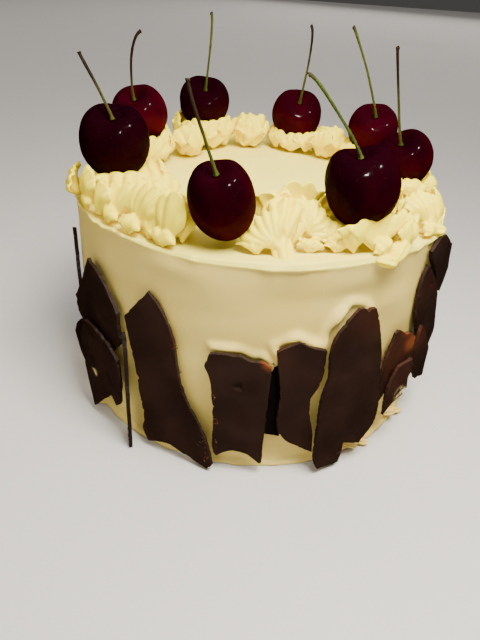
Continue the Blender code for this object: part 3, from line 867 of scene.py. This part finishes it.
shardForm = {
    "thick": 1.5, "unevenBack": 0.4, "bow": 0.3, "edge": 0.10,
    "ragged": 0.40, "wavy": 0.6, "chip": 2.7,
    "grid": 1.5,  # how far apart the cuts are that carry the looks
    "sharp": 27.0,  # corners of more degrees than this stay corners
    "curveStep": 0.7,
    "leftFrom": -6.0, "leftTimes": 2.4,  # a ragged left edge starts there and is this much rougher
    "crumb": (0.16, 0.42), "crumbStretch": (0.7, 1.3), "crumbThin": (0.05, 0.45), "crumbSunk": 0.15,
}

shardLooks = {
    # On the face, mm: pits as across, up, radius; patches of a look as across, up, radius, share; crumbs as
    # across, up, spread, count
    "shard_01": {"ragged": 1.0},
    "shard_04": {"pits": [(-11.5, 31.0, 0.5), (4.0, 27.0, 0.4)], "smear": [(-8.6, 21.5, 1.6, 1.0)]},
    "shard_05": {"ragged": 0.8, "dark": 0.6, "crumbs": [(59.0, 3.0, 1.6, 9)]},
    "shard_06": {"pits": [(7.6, 47.5, 0.9), (9.0, 36.0, 0.5), (18.0, 11.0, 0.8), (17.2, 7.0, 0.6),
                          (19.6, 14.0, 0.6)],
                 "ruddy": [(10.0, 58.0, 9.0, 0.3)],
                 "crumbs": [(5.8, 55.0, 1.1, 9), (8.6, 44.0, 0.5, 3), (19.5, 14.0, 1.8, 12),
                            (21.0, 6.0, 1.4, 9)]},
    "shard_07": {"pits": [(0.0, 45.5, 1.1)], "thin": [(11.5, 58.0, 3.6, 0.8)], "leftRagged": True,
                 "crumbs": [(-8.8, 40.0, 1.0, 5), (-7.9, 28.0, 1.4, 8), (-7.2, 16.0, 1.4, 8)]},
    # shard_08 is painted dark as the shade in the gap behind its neighbours
    "shard_08": {"dark": 1.0},
    "shard_09": {"ruddy": [(-9.0, 60.0, 6.0, 0.3)]},
    "shard_10": {"ruddy": [(0.0, 74.0, 14.0, 0.35)], "pits": [(-7.0, 6.0, 0.8)]},
    "shard_11": {"thin": [(18.0, 49.0, 4.5, 0.75), (14.0, 57.0, 4.0, 0.6)],
                 "ruddy": [(10.0, 46.0, 12.0, 0.6)]},
    "shard_12": {"ruddy": [(12.0, 36.0, 14.0, 0.35)], "smear": [(15.0, 25.0, 3.5, 0.9)]},
    "shard_13": {"ruddy": [(13.0, 52.0, 12.0, 0.8)]},
    "shard_14": {"pits": [(12.0, 72.0, 0.9)], "ruddy": [(12.0, 74.0, 12.0, 0.25)]},
}


def shardCorners(node):
    # The plate's outline on its outer face, read from the solid: the corners of its largest face, in order
    mesh = frame["nodes"][node].data
    bm = bmesh.new()
    bm.from_mesh(mesh)
    bmesh.ops.remove_doubles(bm, verts=bm.verts, dist=0.01 * mm)
    bmesh.ops.dissolve_limit(bm, angle_limit=radians(1), verts=bm.verts, edges=bm.edges)
    faces = sorted(bm.faces, key=lambda face: face.calc_area())[-2:]
    outer = max(faces, key=lambda face: face.normal.dot(face.calc_center_median().normalized()))
    corners = [vert.co.copy() for vert in outer.verts]
    normal = outer.normal.copy()
    bm.free()
    return corners, normal


def rounded(corners):
    # The outline's gentle corners become curves, its sharp ones stay
    count = len(corners)
    tangents = []
    for index, corner in enumerate(corners):
        before = corner - corners[index - 1]
        after = corners[(index + 1) % count] - corner
        smooth = before.angle(after) < radians(shardForm["sharp"])
        tangents.append((before.normalized() + after.normalized()).normalized() if smooth else None)
    curve = []
    for index, corner in enumerate(corners):
        following = corners[(index + 1) % count]
        span = following - corner
        leave = tangents[index] * span.length if tangents[index] else span
        arrive = tangents[(index + 1) % count] * span.length if tangents[(index + 1) % count] else span
        steps = max(1, round(span.length / (shardForm["curveStep"] * mm)))
        for step in range(steps):
            at = step / steps
            curve.append(corner * (2 * at ** 3 - 3 * at ** 2 + 1) + leave * (at ** 3 - 2 * at ** 2 + at)
                         + following * (3 * at ** 2 - 2 * at ** 3) + arrive * (at ** 3 - at ** 2))
    return curve


def brokenPlate(corners, normal, side, looks, number):
    # The plate's outline, bitten ragged and drawn back to its thickness, with blunted edges
    middle = sum(corners, Vector()) / len(corners)
    bm = bmesh.new()
    outline = []
    for spot in rounded(corners):
        inward = (middle - spot).normalized()
        uneven = shardForm["ragged"] * (1 + looks.get("ragged", 0.0) * 2)
        if looks.get("leftRagged") and (spot - middle).dot(side) < shardForm["leftFrom"] * mm:
            uneven *= shardForm["leftTimes"]
        bite = abs(rough(spot / mm, 1.4, number)) * uneven
        bite += abs(rough(spot / mm, 4.5, number + 9)) * shardForm["wavy"]
        bite += max(0.0, rough(spot / mm, 2.6, number + 40) - 0.3) * shardForm["chip"]
        outline.append(bm.verts.new(spot + inward * bite * mm))
    face = bm.faces.new(outline)
    face.normal_update()
    if face.normal.dot(normal) < 0:
        face.normal_flip()
    grown = bmesh.ops.extrude_face_region(bm, geom=[face], use_keep_orig=True)
    for item in grown["geom"]:
        if isinstance(item, bmesh.types.BMVert):
            uneven = shardForm["unevenBack"] * rough(item.co / mm, 5.0, number + 3)
            item.co -= normal * (shardForm["thick"] + uneven) * mm
    bmesh.ops.recalc_face_normals(bm, faces=bm.faces)
    rim = [edge for edge in bm.edges if edge.calc_face_angle(0) > radians(69)]
    bmesh.ops.bevel(bm, geom=rim, offset=shardForm["edge"] * mm, segments=2, profile=0.5, affect="EDGES",
                    material=-1)
    return bm


def cutInSquares(bm, ways):
    spans = []
    for way in ways:
        reaches = [vert.co.dot(way) for vert in bm.verts]
        spans.append((way, min(reaches), max(reaches)))
    for way, start, stop in spans:
        at = start + shardForm["grid"] * mm
        while at < stop:
            everything = bm.verts[:] + bm.edges[:] + bm.faces[:]
            bmesh.ops.bisect_plane(bm, geom=everything, plane_co=way * at, plane_no=way)
            at += shardForm["grid"] * mm


def markPlate(bm, layers, normal, side, upward, looks, number):
    # Writes the looks on the points, bows the plate and sinks its pits
    for vert in bm.verts:
        facing = [face.normal.dot(normal) for face in vert.link_faces]
        vert[layers["broken"]] = 1.0 if facing and max(abs(value) for value in facing) < 0.85 else 0.0
        # the dark look carries painted shade
        vert[layers["dark"]] = looks.get("dark", 0.0)
        across, up = vert.co.dot(side) / mm, vert.co.dot(upward) / mm
        for look in ("thin", "ruddy", "smear"):
            for at, height, wide, share in looks.get(look, ()):
                away = sqrt((across - at) ** 2 + (up - height) ** 2) / wide
                vert[layers[look]] = max(vert[layers[look]], share * clamp(1.6 - 1.3 * away))
        pit = sum(bell(sqrt((across - at) ** 2 + (up - height) ** 2), 0.0, wide)
                  for at, height, wide in looks.get("pits", ()))
        bowed = rough(vert.co / mm, 16.0, number) * shardForm["bow"]
        front = max([0.0] + facing)
        vert.co += normal * (bowed - pit * front) * mm


def addCrumbs(bm, layers, normal, side, upward, looks, number):
    surface = max(vert.co.dot(normal) for vert in bm.verts)
    draw = random.Random(number)
    for across, up, spread, count in looks.get("crumbs", ()):
        for _ in range(count):
            at = side * (across + draw.gauss(0, spread * 0.4)) + upward * (up + draw.gauss(0, spread))
            size = draw.uniform(*shardForm["crumb"]) * mm
            crumb = bmesh.ops.create_icosphere(bm, subdivisions=1, radius=size)["verts"]
            for vert in crumb:
                vert.co *= draw.uniform(*shardForm["crumbStretch"])
                vert.co += at * mm + normal * (surface - shardForm["crumbSunk"] * mm)
                vert[layers["thin"]] = draw.uniform(*shardForm["crumbThin"])


def makeShards():
    paint = chocolatePaint()
    names = sorted(node for node in frame["nodes"] if node.startswith("shard"))
    for number, name in enumerate(names):
        looks = shardLooks.get(name, {})
        corners, normal = shardCorners(name)
        side = Vector((0, 0, 1)).cross(normal).normalized()
        upward = normal.cross(side)
        bm = brokenPlate(corners, normal, side, looks, number)
        cutInSquares(bm, (side, upward))
        layers = {}
        for look in ("broken", "thin", "ruddy", "smear", "dark"):
            layers[look] = bm.verts.layers.float.new(look)
        markPlate(bm, layers, normal, side, upward, looks, number)
        addCrumbs(bm, layers, normal, side, upward, looks, number)
        piece = addPiece("plate." + name[-2:], bm, paint, smooth=False)
        settle(piece, "chocolate", name)
    print("plates", len(names))


# Floor and light

stage = {
    "floor": (0.57, 0.55, 0.53), "mottled": (0.60, 0.58, 0.56), "size": 3.0,
    "sky": (1.0, 0.96, 0.90), "skyStrength": 0.06,
    "small": 0.1,  # lamps under this size only make the highlights on the fruit
}

lamps = {
    # place and target in mm, size, power, colour
    "keyLight": ((75, -150, 390), (0, -55, 90), 0.16, 4.0, (1.0, 0.96, 0.88)),
    "skyLight": ((0, 900, 1700), (0, 900, 0), 3.5, 39.0, (1.0, 0.96, 0.91)),
    "fillLight": ((-420, -740, 280), (0, 0, 60), 0.9, 3.2, (1.0, 0.95, 0.86)),
    "backLight": ((600, 2200, 1100), (0, 0, 60), 1.8, 18.0, (1.0, 0.96, 0.91)),
    "lampLight": ((48, -211, 257), (0, 0, 110), 0.012, 2.0, (1.0, 0.96, 0.88)),
    "spotLight": ((308, -194, 508), (0, 0, 110), 0.030, 5.8, (1.0, 0.96, 0.88)),
}


def makeStage():
    paint = Paint("floorPaint", 0.55)
    paint.feed("Base Color", paint.mix(paint.noise(60.0, 3.0), stage["floor"], stage["mottled"]))
    bm = bmesh.new()
    bmesh.ops.create_grid(bm, x_segments=1, y_segments=1, size=stage["size"])
    floor = addPiece("floor", bm, paint, smooth=False)
    floor.visible_glossy = False
    for name, (place, target, size, power, colour) in lamps.items():
        lamp = bpy.data.lights.new(name, "AREA")
        lamp.size = size
        lamp.energy = power
        lamp.color = colour
        made = bpy.data.objects.new(name, lamp)
        made.location = Vector(place) * mm
        made.rotation_euler = (Vector(target) - Vector(place)).to_track_quat("-Z", "Y").to_euler()
        made.visible_glossy = size < stage["small"]
        made.visible_diffuse = size > stage["small"]
        bpy.context.scene.collection.objects.link(made)
    world = bpy.data.worlds.new("studio")
    world.use_nodes = True
    sky = world.node_tree.nodes["Background"]
    sky.inputs["Color"].default_value = (*stage["sky"], 1.0)
    sky.inputs["Strength"].default_value = stage["skyStrength"]
    world.cycles_visibility.glossy = False
    bpy.context.scene.world = world
    print("stage set")


placeCamera()
makeCake()
makeCherries()
makeStems()
makePipedCream()
makeShards()
makeStage()
